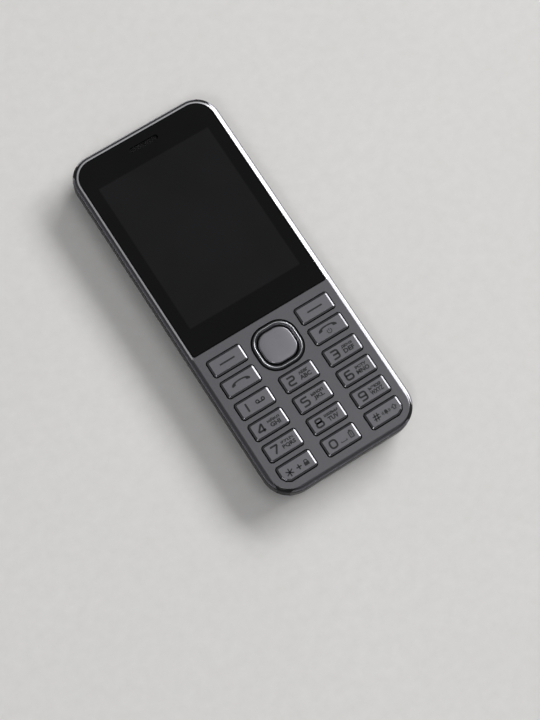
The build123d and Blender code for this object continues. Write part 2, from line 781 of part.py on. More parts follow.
# Rear housing: the moulded frame with the battery bay and pockets for what hangs under the board
with BuildPart() as rear_housing:
    add(chassis_form)
    with BuildSketch(Plane.XY.offset(bay_ceiling_z)):
        with Locations((0, battery_centre_y)):
            Rectangle(battery_width + 2 * battery_side_gap, battery_length + 2 * battery_side_gap)
    extrude(amount=-bay_ceiling_z, mode=Mode.SUBTRACT)
    with BuildSketch(Plane.XY.offset(bay_ceiling_z)):
        with Locations((0, bay_top_y + contact_block_depth / 2)):
            Rectangle(contact_block_width + 2 * slip_gap, contact_block_depth + 2 * slip_gap)
        with Locations((0, bay_foot_y)):
            SlotOverall(finger_notch_width, 2 * finger_notch_depth)
    extrude(amount=-bay_ceiling_z, mode=Mode.SUBTRACT)
    with BuildSketch(Plane.XY):
        with Locations((0, card_bay_centre_y)):
            Rectangle(card_bay_width, card_bay_length)
        with Locations((camera_x, camera_y)):
            Rectangle(camera_block + 2 * camera_fit, camera_block + 2 * camera_fit)
        with Locations((torch_x, camera_y)):
            Rectangle(torch_block + 2 * camera_fit, torch_block + 2 * camera_fit)
    extrude(amount=chassis_front_z, mode=Mode.SUBTRACT)
    extrude(speaker_outline(0, speaker_fit), amount=speaker_foot_z + speaker_thickness, mode=Mode.SUBTRACT)
    with BuildSketch(Plane.XY.offset(chassis_back_z)):
        with Locations((0, aerial_y)):
            Rectangle(aerial_width + 2 * slip_gap, aerial_height + 2 * slip_gap)
    extrude(amount=aerial_thickness, mode=Mode.SUBTRACT)
    with BuildSketch(Plane.XY.offset(chassis_front_z)):
        with Locations((motor_x, motor_y)):
            near_round(motor_radius + motor_fit)
    extrude(amount=-motor_thickness - slip_gap, mode=Mode.SUBTRACT)
    with BuildSketch(Plane.XY.offset(chassis_front_z)):
        with Locations((mic_x, mic_y)):
            Rectangle(mic_width + 2 * slip_gap, mic_length + 2 * slip_gap)
        with Locations((mic_x, inner_foot_y)):
            Rectangle(2 * mic_hole_radius, 2 * mic_inset)
    extrude(amount=-mic_height - slip_gap, mode=Mode.SUBTRACT)
    with BuildSketch(Plane.XY.offset(chassis_front_z)):
        with Locations((left_shield_x, shield_centre_y)):
            Rectangle(left_shield_width + 2 * shield_fit, shield_length + 2 * shield_fit)
        with Locations((right_shield_x, shield_centre_y)):
            Rectangle(right_shield_width + 2 * shield_fit, shield_length + 2 * shield_fit)
    extrude(amount=-shield_height - shield_fit, mode=Mode.SUBTRACT)
    with BuildSketch(Plane.XY.offset(chassis_front_z)):
        with Locations((jack_x, jack_bay_y)):
            Rectangle(jack_bay_width, jack_bay_length)
    extrude(amount=jack_z - jack_body_height / 2 - slip_gap - chassis_front_z, mode=Mode.SUBTRACT)
    with BuildSketch(Plane.XY.offset(chassis_front_z)):
        with Locations((usb_x, inner_top_y - usb_length / 2)):
            Rectangle(usb_hole_width, usb_length + 2 * slip_gap + overrun)
    extrude(amount=-usb_height - slip_gap, mode=Mode.SUBTRACT)
    with BuildSketch(Plane.XY):
        with Locations(*screw_centres):
            hexagon(screw_head_radius + screw_pocket_gap)
    extrude(amount=screw_seat_z, mode=Mode.SUBTRACT)
    with BuildSketch(Plane.XY):
        with Locations(*screw_centres):
            hexagon(screw_hole_radius)
    extrude(amount=chassis_front_z, mode=Mode.SUBTRACT)
write(rear_housing.part, "rear_housing")

# Housing screws
with BuildPart() as housing_screws:
    with BuildSketch(Plane.XY.offset(screw_seat_z)):
        with Locations(*screw_centres):
            hexagon(screw_head_radius)
    extrude(amount=-screw_head_height)
    with BuildSketch(Plane.XY.offset(screw_seat_z)):
        with Locations(*screw_centres):
            hexagon(screw_radius)
    extrude(amount=screw_length)
write(housing_screws.part, "housing_screws")

# Battery pack with its contact face at the top end
with BuildPart() as battery:
    with BuildSketch(Plane.XY.offset(battery_under_z)):
        with Locations((0, battery_centre_y)):
            Rectangle(battery_width, battery_length)
    extrude(amount=battery_thickness)
    long_edges = battery.edges().filter_by(Axis.Y)
    chamfer(long_edges, battery_edge)
    with BuildSketch(Plane.XZ.offset(-battery_top_y)):
        with GridLocations(battery_contact_pitch, 0, 3, 1):
            with Locations((0, battery_under_z + battery_thickness / 2)):
                Rectangle(battery_contact_width, battery_contact_height)
    extrude(amount=battery_contact_depth, mode=Mode.SUBTRACT)
write(battery.part, "battery")

# Battery contacts: a plastic block with three sprung blades
contact_top_z = bay_ceiling_z - slip_gap
with BuildPart() as battery_contacts:
    with BuildSketch(Plane.XY.offset(contact_top_z)):
        with Locations((0, bay_top_y + contact_block_depth / 2)):
            Rectangle(contact_block_width, contact_block_depth)
    extrude(amount=-contact_block_height)
    with BuildSketch(Plane.XY.offset(battery_under_z + battery_thickness / 2)):
        with Locations((0, bay_top_y - contact_reach / 2)):
            with GridLocations(battery_contact_pitch, 0, 3, 1):
                Rectangle(battery_contact_width / 2, contact_reach)
    extrude(amount=battery_contact_height / 2, both=True)
write(battery_contacts.part, "battery_contacts")


def card_socket(label, x, width, length):
    """A stamped socket under the board, open towards the battery."""
    middle = (x, card_bay_centre_y)
    with BuildPart() as socket:
        with BuildSketch(Plane.XY.offset(chassis_front_z)):
            with Locations(middle):
                Rectangle(width, length)
        extrude(amount=-socket_height)
        with BuildSketch(Plane.XY.offset(chassis_front_z - socket_wall)):
            with Locations((x, card_bay_centre_y - socket_wall)):
                Rectangle(width - 2 * socket_wall, length)
        extrude(amount=2 * socket_wall - socket_height, mode=Mode.SUBTRACT)
    write(socket.part, label)


sim_length = card_bay_length - 2 * sim_end_gap
memory_length = card_bay_length - 2 * memory_end_gap
card_socket("sim_socket_left", -socket_pitch, sim_width, sim_length)
card_socket("sim_socket_right", socket_pitch, sim_width, sim_length)
card_socket("memory_card_socket", 0, memory_width, memory_length)

# Rear camera: a block with a barrel that looks through the bezel
with BuildPart() as camera_module:
    with BuildSketch(Plane.XY.offset(chassis_front_z)):
        with Locations((camera_x, camera_y)):
            Rectangle(camera_block, camera_block)
    extrude(amount=camera_foot_z + camera_barrel_height - chassis_front_z)
    with BuildSketch(Plane.XY.offset(camera_foot_z)):
        with Locations((camera_x, camera_y)):
            near_round(camera_barrel_radius)
    extrude(amount=camera_barrel_height)
write(camera_module.part, "camera_module")

with BuildPart() as torch_led:
    with BuildSketch(Plane.XY.offset(chassis_front_z)):
        with Locations((torch_x, camera_y)):
            Rectangle(torch_block, torch_block)
    extrude(amount=-torch_block_height)
    with BuildSketch(Plane.XY.offset(chassis_front_z - torch_block_height)):
        with Locations((torch_x, camera_y)):
            hexagon(torch_block / 2 - camera_fit)
    extrude(amount=chassis_back_z + glue_gap + torch_block_height - chassis_front_z)
write(torch_led.part, "torch_led")

with BuildPart() as camera_bezel:
    with BuildSketch(Plane.XY.offset(bezel_recess)):
        with Locations((0, camera_y)):
            SlotOverall(bezel_width, bezel_height)
    extrude(amount=chassis_back_z - bezel_recess)
    chamfer(camera_bezel.faces().sort_by(Axis.Z)[0].edges(), bezel_edge)
    with BuildSketch(Plane.XY):
        with Locations((camera_x, camera_y)):
            Circle(camera_glass_radius)
        with Locations((torch_x, camera_y)):
            Circle(torch_lens_radius)
    extrude(amount=chassis_back_z, mode=Mode.SUBTRACT)
write(camera_bezel.part, "camera_bezel")


def bezel_glass(label, x, radius):
    with BuildPart() as glass:
        with BuildSketch(Plane.XY.offset(bezel_recess + slip_gap)):
            with Locations((x, camera_y)):
                near_round(radius - glue_gap)
        extrude(amount=glass_thickness)
    write(glass.part, label)


bezel_glass("camera_glass", camera_x, camera_glass_radius)
bezel_glass("torch_lens", torch_x, torch_lens_radius)

# Loudspeaker behind the cover's grille
with BuildPart() as loudspeaker:
    extrude(speaker_outline(speaker_foot_z, 0), amount=speaker_thickness)
write(loudspeaker.part, "loudspeaker")

with BuildPart() as vibration_motor:
    with BuildSketch(Plane.XY.offset(chassis_front_z)):
        with Locations((motor_x, motor_y)):
            near_round(motor_radius)
    extrude(amount=-motor_thickness)
write(vibration_motor.part, "vibration_motor")

with BuildPart() as microphone:
    with BuildSketch(Plane.XY.offset(chassis_front_z)):
        with Locations((mic_x, mic_y)):
            Rectangle(mic_width, mic_length)
    extrude(amount=-mic_height)
write(microphone.part, "microphone")

# Audio socket: a block with a round nozzle that ends just under the body's surface
with BuildPart() as audio_jack:
    with BuildSketch(Plane.XZ.offset(-jack_body_y - jack_body_length / 2)):
        with Locations((jack_x, jack_z)):
            Rectangle(jack_body_width, jack_body_height)
    extrude(amount=jack_body_length)
    with BuildSketch(Plane.XZ.offset(-jack_body_y)):
        with Locations((jack_x, jack_z)):
            Circle(jack_nozzle_radius)
    extrude(amount=jack_body_y - jack_face_y)
    with BuildSketch(Plane.XZ.offset(-jack_face_y)):
        with Locations((jack_x, jack_z)):
            Circle(jack_bore_radius)
    extrude(amount=jack_bore_depth, mode=Mode.SUBTRACT)
write(audio_jack.part, "audio_jack")

# Charging socket: a folded shell round a contact tongue
with BuildPart() as usb_socket:
    usb_mouth = Plane.XZ.offset(-inner_top_y)
    usb_floor = Plane.XZ.offset(usb_length - inner_top_y)
    usb_middle = (usb_x, usb_z)
    hollow_width = usb_width - 2 * usb_wall
    hollow_height = usb_height - 2 * usb_wall
    shell = flat_cornered(usb_mouth, usb_middle, usb_width, usb_height, 4 * [2 * usb_wall])
    hollow = flat_cornered(usb_mouth, usb_middle, hollow_width, hollow_height, 4 * [usb_wall])
    extrude(shell, amount=usb_length)
    extrude(hollow, amount=usb_length - usb_wall, mode=Mode.SUBTRACT)
    with BuildSketch(usb_floor):
        with Locations((usb_x, usb_z + usb_tongue_height / 2)):
            Rectangle(usb_tongue_width, usb_tongue_height)
    extrude(amount=usb_wall * 3 - usb_length)
write(usb_socket.part, "usb_socket")


def shield(label, x, width):
    with BuildPart() as can:
        with BuildSketch(Plane.XY.offset(chassis_front_z)):
            with Locations((x, shield_centre_y)):
                Rectangle(width, shield_length)
        extrude(amount=-shield_height)
    write(can.part, label)


shield("shield_can_left", left_shield_x, left_shield_width)
shield("shield_can_right", right_shield_x, right_shield_width)

# Aerial: a metal film in a shallow recess at the foot of the frame
with BuildPart() as aerial:
    with BuildSketch(Plane.XY.offset(chassis_back_z)):
        with Locations((0, aerial_y)):
            Rectangle(aerial_width, aerial_height)
        with Locations((0, aerial_y)):
            Rectangle(aerial_width / 2, aerial_slot, mode=Mode.SUBTRACT)
    extrude(amount=aerial_thickness)
write(aerial.part, "aerial")

# Rear cover: a thin shell that wraps the back up to the parting line
with BuildPart() as rear_cover:
    add(body)
    split(bisect_by=Plane.XY.offset(parting_height), keep=Keep.BOTTOM)
    add(cover_cavity, mode=Mode.SUBTRACT)
    with BuildSketch(Plane.XY):
        with Locations((0, camera_y)):
            SlotOverall(bezel_width + 2 * bezel_opening_gap, bezel_height + 2 * bezel_opening_gap)
        for y in grille_ys:
            add(grille_slot(y))
    extrude(amount=cover_wall, mode=Mode.SUBTRACT)
    with BuildSketch(Plane.XY.offset(parting_height)):
        with Locations((-body_width / 2, notch_y)):
            SlotOverall(notch_length, 2 * notch_depth, rotation=90)
    extrude(amount=-notch_height, mode=Mode.SUBTRACT)
    cut_ports()
write(rear_cover.part, "rear_cover")
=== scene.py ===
import bpy
import bmesh
import json
from math import cos, pi, radians, sin
from mathutils import Euler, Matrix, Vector


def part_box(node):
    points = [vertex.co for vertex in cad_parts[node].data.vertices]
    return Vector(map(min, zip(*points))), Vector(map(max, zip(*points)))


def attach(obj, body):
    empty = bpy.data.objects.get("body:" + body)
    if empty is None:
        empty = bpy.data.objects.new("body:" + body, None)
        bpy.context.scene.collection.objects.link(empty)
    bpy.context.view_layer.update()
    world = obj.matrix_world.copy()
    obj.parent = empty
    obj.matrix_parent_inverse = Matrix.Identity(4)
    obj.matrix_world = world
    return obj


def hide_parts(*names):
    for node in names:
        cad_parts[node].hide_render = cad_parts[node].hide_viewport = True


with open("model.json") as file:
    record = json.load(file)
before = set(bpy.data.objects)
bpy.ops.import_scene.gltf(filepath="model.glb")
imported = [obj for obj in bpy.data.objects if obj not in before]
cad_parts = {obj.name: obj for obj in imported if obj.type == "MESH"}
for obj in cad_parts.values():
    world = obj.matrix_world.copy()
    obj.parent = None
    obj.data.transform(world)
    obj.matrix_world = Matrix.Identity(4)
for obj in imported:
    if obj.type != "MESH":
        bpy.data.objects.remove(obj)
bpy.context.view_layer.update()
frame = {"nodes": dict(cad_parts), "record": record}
nodes = frame["nodes"]

# Lengths are in millimetres in the CAD model's frame. Only those of lamps and camera are in metres.
MM = 0.001

# Window: the centres of its top corners' arcs, and their radius
WINDOW_ARC_X = 19.3
WINDOW_ARC_Y = 58.75
WINDOW_CORNER = 6.5

# Lit area of the display, which is centred across the phone
LIT_MIDDLE_Y = 26.4
LIT_HALF_WIDTH = 21.6
LIT_HALF_LENGTH = 28.8

# Camera lens and torch on the back
CAMERA_LENS = (-4.3, 46.0)
TORCH = (4.5, 46.0)

# Rolled edge as it is shaded: its start outside the window, its width and its slope
ROLL_START = 0.62
ROLL_WIDTH = 0.7
ROLL_SLOPE = 0.41

# Pairs are the start and the end of a soft change.
# Distances outside the window at which the pale line of painted highlight and the dark shoulder begin
PAINTED_HIGHLIGHT_START = (0.5, 0.56)
SHOULDER_BY_WINDOW = (0.98, 1.06)
SHOULDER_BY_KEYS = (0.55, 0.85)

# Where the pale line of painted highlight begins along Y, and the level above which the finishes of
# the face lie
PAINTED_HIGHLIGHT_FOOT_Y = (-12.4, -11.2)
FACE_FOOT_Z = (10.3, 10.4)

# Upward part of a surface's direction, from steeper to flatter, at which a finish ends
RIM_UP = (0.93, 0.985)
# Walls steeper than this on the housing are painted near black as shade
PAINTED_SHADE_SIDE_UP = (0.42, 0.6)
KEY_EDGE_UP = (0.90, 0.985)
KEY_WALL_UP = (0.3, 0.6)

# Outline within which a housing wall belongs to a well of the keys or the window, which is painted
# black as shade
WELLS_HALF_WIDTH = 26.55
WELLS_HALF_LENGTH = 66.1

# Lacquer shared by housing and keys
THIN_COAT = {"Coat_Weight": 0.06, "Coat_Roughness": 0.18, "Specular_IOR_Level": 0.25}
FLAKE_NOISE = (9.0, 2.0, 0.7)
LACQUER_METAL = 0.25
EDGE_RADIUS = 0.12
WELL_ROUGH = 0.6


# Materials

class Shade:
    """One procedural material on object coordinates in millimetres, with short calls for its nodes."""

    def __init__(self, name, **fixed):
        self.material = bpy.data.materials.new(name)
        self.material.use_nodes = True
        self.tree = self.material.node_tree
        self.tree.nodes.clear()
        self.surface = self.add("ShaderNodeBsdfPrincipled")
        output = self.add("ShaderNodeOutputMaterial")
        self.tree.links.new(self.surface.outputs[0], output.inputs[0])
        for label, value in fixed.items():
            self.surface.inputs[label.replace("_", " ")].default_value = value
        coordinates = self.add("ShaderNodeTexCoord")
        inputs = {0: coordinates.outputs["Object"], "Scale": 1 / MM}
        self.place = self.add("ShaderNodeVectorMath", inputs, operation="SCALE").outputs[0]
        split = self.add("ShaderNodeSeparateXYZ", {0: self.place})
        self.x, self.y, self.z = split.outputs
        facing = self.add("ShaderNodeSeparateXYZ", {0: coordinates.outputs["Normal"]})
        # One on a flat top, nought on an upright wall
        self.up = facing.outputs[2]
        self.normal = None

    def add(self, kind, inputs=None, **settings):
        """A new node with its settings made and its inputs filled or linked."""
        node = self.tree.nodes.new(kind)
        for label, value in settings.items():
            setattr(node, label, value)
        for socket, value in (inputs or {}).items():
            self.put(node.inputs[socket], value)
        return node

    def put(self, socket, value):
        """A link from another socket, or a plain value."""
        if isinstance(value, bpy.types.NodeSocket):
            self.tree.links.new(value, socket)
        else:
            socket.default_value = value

    def maths(self, operation, first, second=0.0):
        return self.add("ShaderNodeMath", {0: first, 1: second}, operation=operation).outputs[0]

    def product(self, *factors):
        result = factors[0]
        for factor in factors[1:]:
            result = self.maths("MULTIPLY", result, factor)
        return result

    def beyond(self, value, limit):
        """How far value is past a limit, and nought before it."""
        return self.maths("MAXIMUM", self.maths("SUBTRACT", value, limit), 0.0)

    def step(self, value, low, high, start=0.0, end=1.0):
        """A smooth change from start to end as value goes from low to high."""
        inputs = {"Value": value, "From Min": low, "From Max": high, "To Min": start, "To Max": end}
        node = self.add("ShaderNodeMapRange", inputs, interpolation_type="SMOOTHSTEP")
        return node.outputs["Result"]

    def fall(self, value, low, high):
        """One below low, and nought above high."""
        return self.step(value, low, high, 1.0, 0.0)

    def inside(self, value, centre, reach, soft):
        """One within reach of centre, and nought outside."""
        away = self.maths("ABSOLUTE", self.maths("SUBTRACT", value, centre))
        return self.fall(away, reach - soft, reach + soft)

    def distance(self, middle):
        """How far a place is from the line through middle along Z."""
        flat = self.add("ShaderNodeCombineXYZ", {0: self.x, 1: self.y, 2: 0.0}).outputs[0]
        inputs = {0: flat, 1: (*middle, 0.0)}
        return self.add("ShaderNodeVectorMath", inputs, operation="DISTANCE").outputs["Value"]

    def noise(self, scale, detail=3.0, rough=0.5, stretch=(1.0, 1.0, 1.0)):
        """Noise of so many cycles in a millimetre, drawn out along an axis whose stretch is low."""
        inputs = {0: self.place, 1: stretch}
        vector = self.add("ShaderNodeVectorMath", inputs, operation="MULTIPLY").outputs[0]
        inputs = {"Vector": vector, "Scale": scale, "Detail": detail, "Roughness": rough}
        return self.add("ShaderNodeTexNoise", inputs).outputs["Fac"]

    def spread(self, noise, low, high):
        """A noise's usual range, 0.3 to 0.7, spread over low to high."""
        inputs = {"Value": noise, "From Min": 0.3, "From Max": 0.7, "To Min": low, "To Max": high}
        return self.add("ShaderNodeMapRange", inputs).outputs["Result"]

    def between(self, kind, sockets, result, values):
        """Blender's Mix node, which has its own numbered sockets for each kind of value."""
        node = self.add("ShaderNodeMix", dict(zip(sockets, values)), data_type=kind)
        return node.outputs[result]

    def mix(self, amount, first, second):
        """A colour between two others."""
        return self.between("RGBA", (0, 6, 7), 2, (amount, first, second))

    def blend(self, amount, first, second):
        """A number between two others."""
        return self.between("FLOAT", (0, 2, 3), 0, (amount, first, second))

    def mottle(self, noise, first, second, most=1.0):
        """A colour that turns into a second one as the noise rises, by no more than most."""
        return self.mix(self.spread(noise, 0.0, most), first, second)

    def colour(self, value):
        self.put(self.surface.inputs["Base Color"], value)

    def rough(self, value):
        self.put(self.surface.inputs["Roughness"], value)

    def metal(self, value):
        self.put(self.surface.inputs["Metallic"], value)

    def soften(self, radius):
        """Rounded edges in the shading, with the mesh left as it is."""
        node = self.add("ShaderNodeBevel", {"Radius": radius * MM}, samples=6)
        self.normal = node.outputs[0]
        self.put(self.surface.inputs["Normal"], self.normal)
        self.put(self.surface.inputs["Coat Normal"], self.normal)

    def tilt(self, height):
        """Later bumps are shaded as if the softened surface had this height in millimetres."""
        inputs = {"Height": height, "Distance": MM, "Normal": self.normal}
        self.normal = self.add("ShaderNodeBump", inputs).outputs[0]

    def bump(self, height, depth, strength=1.0):
        """Relief of so many millimetres for a height from nought to one."""
        inputs = {"Height": height, "Distance": depth * MM, "Strength": strength}
        if self.normal is not None:
            inputs["Normal"] = self.normal
        node = self.add("ShaderNodeBump", inputs)
        self.put(self.surface.inputs["Normal"], node.outputs[0])


def grey(level):
    """The slightly cool grey of moulded plastic."""
    return (level, level * 1.015, level * 1.03, 1.0)


def grey_blue(level):
    """The cool grey of the lacquer."""
    return (level, level * 0.99, level * 1.07, 1.0)


def lacquer(s, level):
    """Metallic flake, slightly mottled and faintly scuffed lengthwise: its colour and roughness."""
    flake = s.noise(*FLAKE_NOISE)
    cloud = s.noise(0.12, 4.0)
    scuff = s.noise(0.9, 6.0, 0.7, (1.0, 0.12, 1.0))
    base = s.mottle(flake, grey_blue(level * 0.93), grey_blue(level * 1.07))
    base = s.mottle(cloud, base, grey_blue(level * 0.86), 0.3)
    worn = s.maths("ADD", s.spread(flake, 0.38, 0.46), s.spread(scuff, 0.0, 0.05))
    s.bump(flake, 0.004, 0.35)
    return base, worn


def window_distance(s):
    """How far a place is outside the window's sides and top, carried on down to the housing's foot."""
    across = s.beyond(s.maths("ABSOLUTE", s.x), WINDOW_ARC_X)
    along = s.beyond(s.maths("ABSOLUTE", s.y), WINDOW_ARC_Y)
    squares = s.maths("ADD", s.product(across, across), s.product(along, along))
    return s.maths("SUBTRACT", s.maths("SQRT", squares), WINDOW_CORNER)


def housing_paint():
    """Silver-grey lacquer, a painted highlight line by the window, a polished rim, and painted shade
    on sides and wells.
    """
    s = Shade("silver_housing", **THIN_COAT)
    s.soften(EDGE_RADIUS)
    away = window_distance(s)
    rolled = s.maths("MINIMUM", s.beyond(away, ROLL_START), ROLL_WIDTH)
    s.tilt(s.product(rolled, -ROLL_SLOPE))
    base, worn = lacquer(s, 0.116)

    # Where each finish lies, from nought to one
    by_window = s.step(s.y, *PAINTED_HIGHLIGHT_FOOT_Y)
    raised = s.step(s.z, *FACE_FOOT_Z)
    sloping = s.fall(s.up, *RIM_UP)
    # Side: upright walls, painted near black as shade
    side = s.fall(s.up, *PAINTED_SHADE_SIDE_UP)
    rim = s.product(sloping, raised)
    flat = s.product(s.maths("SUBTRACT", 1.0, sloping), raised)
    # Line: a pale line painted beside the window as the highlight on its chamfer
    line = s.product(flat, by_window, s.step(away, *PAINTED_HIGHLIGHT_START))
    early = s.step(away, *SHOULDER_BY_KEYS)
    late = s.step(away, *SHOULDER_BY_WINDOW)
    shoulder = s.product(flat, s.blend(by_window, early, late))
    # Wells: sloping walls round the keys and the window, painted black as shade
    across = s.inside(s.x, 0.0, WELLS_HALF_WIDTH, 0.05)
    along = s.inside(s.y, 0.0, WELLS_HALF_LENGTH, 0.05)
    painted_well_shade = s.product(across, along, sloping)

    # Each finish is laid over the one before: the line of painted highlight, shoulder, rim, then sides
    # and wells in painted shade.
    # The rim is brighter where it is steeper.
    polish = s.mix(s.step(s.up, 0.75, 0.88), grey_blue(0.5), grey_blue(0.14))
    # Painted highlight: the pale line's colour
    colour = s.mix(line, base, (0.50, 0.50, 0.51, 1))
    colour = s.mix(shoulder, colour, grey_blue(0.13))
    colour = s.mix(rim, colour, polish)
    # Painted shade: the sides, then the wells, near black
    colour = s.mix(side, colour, grey_blue(0.014))
    s.colour(s.mix(painted_well_shade, colour, (0.006, 0.006, 0.007, 1)))
    rough = s.blend(s.maths("MAXIMUM", line, shoulder), worn, 0.28)
    rough = s.blend(rim, rough, 0.16)
    rough = s.blend(side, rough, 0.42)
    s.rough(s.blend(painted_well_shade, rough, WELL_ROUGH))
    metal = s.blend(line, LACQUER_METAL, 0.3)
    metal = s.blend(shoulder, metal, 0.9)
    metal = s.blend(rim, metal, 0.9)
    metal = s.blend(side, metal, 0.1)
    s.metal(s.blend(painted_well_shade, metal, 0.0))
    return s.material


def key_paint(name, face_grey, edge_grey, edges_above, painted_shade_walls_below, painted_shade_below):
    """The same lacquer on a key, with polished edges on top, and walls, flange and the chamfer's foot
    painted black as shade.
    """
    s = Shade(name, **THIN_COAT)
    s.soften(EDGE_RADIUS)
    base, worn = lacquer(s, face_grey)
    edge = s.product(s.fall(s.up, *KEY_EDGE_UP), s.step(s.z, edges_above, edges_above + 0.1))
    painted_shade_wall = s.product(s.fall(s.up, *KEY_WALL_UP), s.fall(s.z, painted_shade_walls_below - 0.04, painted_shade_walls_below))
    # Painted shade: upright walls, and everything under a level that takes in the flange and the
    # chamfer's foot, are black
    dark = s.maths("MAXIMUM", painted_shade_wall, s.fall(s.z, painted_shade_below - 0.05, painted_shade_below))
    colour = s.mix(edge, base, grey_blue(edge_grey))
    s.colour(s.mix(dark, colour, (0.005, 0.005, 0.006, 1)))
    s.rough(s.blend(dark, s.blend(edge, worn, 0.17), WELL_ROUGH))
    s.metal(s.blend(dark, s.blend(edge, LACQUER_METAL, 0.85), 0.0))
    return s.material


def cover_paint():
    """Dark satin lacquer on the cover."""
    s = Shade("cover_plastic", Coat_Weight=0.2, Coat_Roughness=0.2)
    s.soften(0.16)
    base, worn = lacquer(s, 0.034)
    s.colour(base)
    s.rough(worn)
    s.metal(s.spread(s.noise(*FLAKE_NOISE), 0.28, 0.38))
    return s.material


def lit_area(s, soft):
    """One over the display's lit area, and nought round it."""
    across = s.inside(s.x, 0.0, LIT_HALF_WIDTH, soft)
    along = s.inside(s.y, LIT_MIDDLE_Y, LIT_HALF_LENGTH, soft)
    return s.product(across, along)


def window_material():
    """Black-bordered pane over a switched-off display, whose lit area is a shade paler."""
    s = Shade("window_black", Specular_IOR_Level=0.32)
    half_pitch = 0.09
    line_width = 0.02
    lit = lit_area(s, 0.35)
    film = s.noise(0.05, 2.0)
    border = s.mottle(film, (0.0016, 0.0016, 0.0017, 1), (0.0024, 0.0024, 0.0026, 1))
    panel = s.mottle(film, (0.0068, 0.0068, 0.0070, 1), (0.0088, 0.0088, 0.0094, 1))
    rows = s.maths("PINGPONG", s.y, half_pitch)
    columns = s.maths("PINGPONG", s.x, half_pitch)
    lines = s.step(s.maths("MINIMUM", rows, columns), 0.0, line_width, 0.12, 0.0)
    panel = s.mix(lines, panel, (0.004, 0.004, 0.005, 1))
    s.colour(s.mix(lit, border, panel))
    dust = s.noise(1.6, 8.0, 0.75)
    s.rough(s.step(dust, 0.45, 0.8, 0.05, 0.16))
    return s.material


def chrome_material():
    """Bright plating with a satin sheen, a little uneven."""
    s = Shade("ring_chrome", Metallic=1.0)
    swirl = s.noise(2.2, 5.0, 0.6)
    s.colour(s.mottle(swirl, (0.38, 0.385, 0.40, 1), (0.44, 0.445, 0.46, 1)))
    s.rough(s.spread(swirl, 0.28, 0.34))
    s.bump(s.noise(0.6, 2.0), 0.004, 0.08)
    return s.material


def moulded(name, level, rough, grain=2.4, depth=0.02):
    """Matt moulded plastic or rubber with a spark-eroded grain."""
    s = Shade(name)
    pits = s.noise(grain, 5.0, 0.6)
    cloud = s.noise(0.15, 3.0)
    base = s.mottle(pits, grey(level * 0.85), grey(level * 1.15))
    s.colour(s.mottle(cloud, base, grey(level * 0.75), 0.35))
    s.rough(s.spread(pits, rough - 0.06, rough + 0.06))
    s.bump(pits, depth, 0.6)
    return s.material


def stamped_metal(name, colour, dark, rough):
    """Rolled sheet metal with fine lengthwise streaks and a little tarnish."""
    s = Shade(name, Metallic=1.0)
    streak = s.noise(3.0, 6.0, 0.7, (1.0, 0.06, 1.0))
    stain = s.noise(0.35, 4.0)
    base = s.mottle(streak, colour, dark, 0.5)
    s.colour(s.mottle(stain, base, dark, 0.4))
    s.rough(s.spread(streak, rough - 0.05, rough + 0.08))
    s.bump(streak, 0.006, 0.5)
    return s.material


def mesh_material():
    """Woven wire cloth over the earpiece, its threads at a third of a millimetre."""
    s = Shade("mesh_metal", Metallic=0.85)
    pitch = 0.34
    across = s.maths("SINE", s.product(s.x, 2 * pi / pitch))
    along = s.maths("SINE", s.product(s.y, 2 * pi / pitch))
    weave = s.product(across, along)
    wire = s.step(weave, -0.25, 0.7)
    s.colour(s.mix(wire, (0.002, 0.002, 0.002, 1), (0.011, 0.011, 0.012, 1)))
    s.rough(s.step(weave, -1.0, 1.0, 0.55, 0.32))
    s.bump(weave, 0.06, 0.8)
    return s.material


def board_material():
    """Green solder mask over copper: traces, pads and a ground pour."""
    s = Shade("board_green", Coat_Weight=0.4, Coat_Roughness=0.2)
    inputs = {"Vector": s.place, "Scale": 0.55}
    cells = s.add("ShaderNodeTexVoronoi", inputs, distance="MANHATTAN")
    rims = s.step(cells.outputs["Distance"], 0.42, 0.52)
    inputs = {"Vector": s.place, "Scale": 1.3}
    fine = s.add("ShaderNodeTexVoronoi", inputs, distance="CHEBYCHEV")
    pads = s.fall(fine.outputs["Distance"], 0.10, 0.14)
    mask = s.mix(rims, (0.012, 0.10, 0.045, 1), (0.022, 0.19, 0.08, 1))
    s.colour(s.mix(pads, mask, (0.75, 0.52, 0.2, 1)))
    s.metal(pads)
    s.rough(s.step(s.noise(1.0), 0.3, 0.7, 0.3, 0.45))
    s.bump(rims, 0.03, 0.6)
    return s.material


def film_material():
    """Clear film, raised and steel-coloured where the domes lie under it."""
    s = Shade("film", Coat_Weight=0.5, Coat_Roughness=0.1)
    domes = s.step(s.z, 7.38, 7.45)
    ripple = s.noise(0.5, 4.0)
    film = s.mottle(ripple, (0.55, 0.56, 0.58, 1), (0.72, 0.73, 0.74, 1))
    s.colour(s.mix(domes, film, (0.62, 0.63, 0.65, 1)))
    s.metal(domes)
    s.rough(s.spread(ripple, 0.25, 0.4))
    s.bump(ripple, 0.02)
    return s.material


def wrap_material():
    """Shrink wrap round the cell: dark grey, faintly creased, with a darker seam band and no print."""
    s = Shade("battery_wrap", Coat_Weight=0.3, Coat_Roughness=0.25)
    band_middle = 11.8
    band_half_width = 2.6
    crease = s.noise(0.35, 6.0, 0.65, (1.0, 0.3, 1.0))
    band = s.inside(s.y, band_middle, band_half_width, 0.05)
    wrap = s.mottle(crease, (0.065, 0.07, 0.08, 1), (0.095, 0.10, 0.112, 1))
    s.colour(s.mix(band, wrap, (0.035, 0.036, 0.04, 1)))
    s.rough(s.spread(crease, 0.32, 0.5))
    s.bump(crease, 0.06, 0.6)
    return s.material


def panel_material():
    """The display's black glass in its stamped rim."""
    s = Shade("panel_dark", Coat_Weight=0.5, Coat_Roughness=0.05)
    lit = lit_area(s, 0.1)
    speck = s.noise(2.0, 4.0)
    steel = s.mottle(speck, (0.32, 0.33, 0.35, 1), (0.42, 0.43, 0.45, 1))
    s.colour(s.mix(lit, steel, (0.03, 0.033, 0.042, 1)))
    s.metal(s.maths("SUBTRACT", 1.0, lit))
    s.rough(s.spread(speck, 0.2, 0.34))
    return s.material


